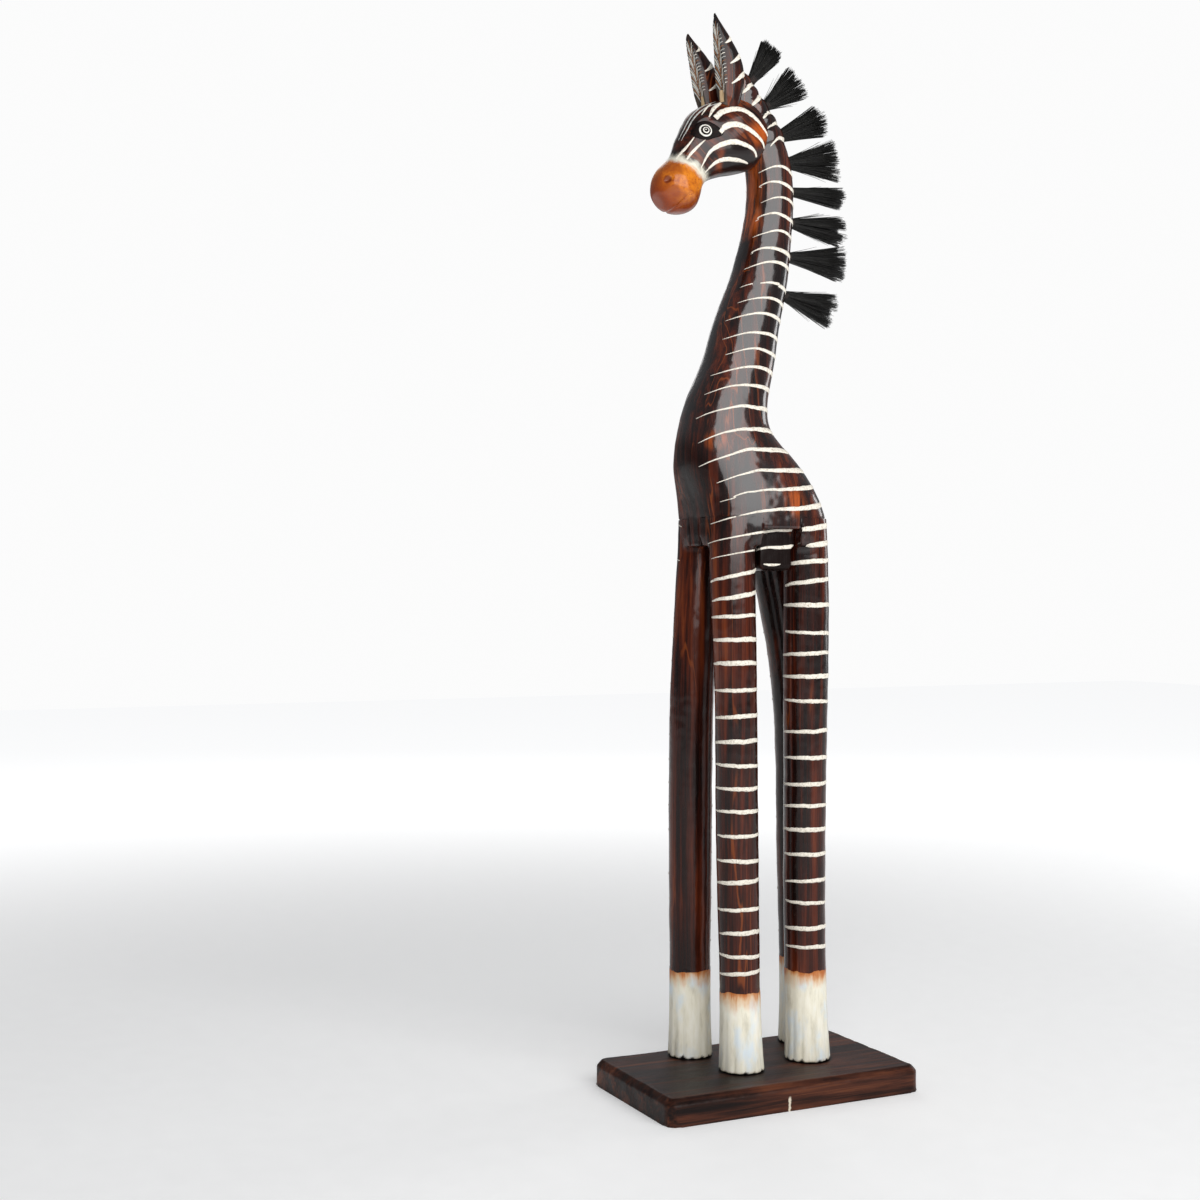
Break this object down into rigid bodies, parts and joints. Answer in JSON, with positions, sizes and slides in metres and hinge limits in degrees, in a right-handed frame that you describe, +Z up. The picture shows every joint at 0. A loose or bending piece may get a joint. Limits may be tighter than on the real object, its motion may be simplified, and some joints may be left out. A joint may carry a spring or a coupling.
{
  "type": "carved striped giraffe statue",
  "caption": "Tall free-standing carved wooden giraffe with painted zebra stripes, upright ears and a bristle mane, fixed on a chamfered wooden plank.",
  "frame": {"origin": "middle of the plank's underside", "axes": "+Z up, the animal looks along -X, its left flank faces -Y, the plank's long side lies along X"},
  "size_m": [0.264, 0.156, 0.999],
  "materials": {
    "carved_stain": "dark red-brown stain under gloss varnish",
    "plank_stain": "black-brown stain, satin",
    "dowel_wood": "bare",
    "mane_bristle": "stiff black plant fibre",
    "screw_steel": "zinc plated",
    "stripe_paint": "cream craft paint, brushed on by hand",
    "eye_paint": "black gloss paint with white rings"
  },
  "bodies": {
    "root": {"base_plank": "plank_stain", "base_screws": "screw_steel", "body_and_neck": "carved_stain", "ear_left": "carved_stain", "ear_left_dowel": "dowel_wood", "ear_right": "carved_stain", "ear_right_dowel": "dowel_wood", "head": "carved_stain", "head_dowel": "dowel_wood", "leg_dowel_front_left": "dowel_wood", "leg_dowel_front_right": "dowel_wood", "leg_dowel_hind_left": "dowel_wood", "leg_dowel_hind_right": "dowel_wood", "leg_front_left": "carved_stain", "leg_front_right": "carved_stain", "leg_hind_left": "carved_stain", "leg_hind_right": "carved_stain", "mane_tuft_1": "mane_bristle", "mane_tuft_2": "mane_bristle", "mane_tuft_3": "mane_bristle", "mane_tuft_4": "mane_bristle", "mane_tuft_5": "mane_bristle", "mane_tuft_6": "mane_bristle", "mane_tuft_7": "mane_bristle", "mane_tuft_8": "mane_bristle", "tail": "carved_stain", "tail_peg": "dowel_wood"}
  },
  "joints": []
}
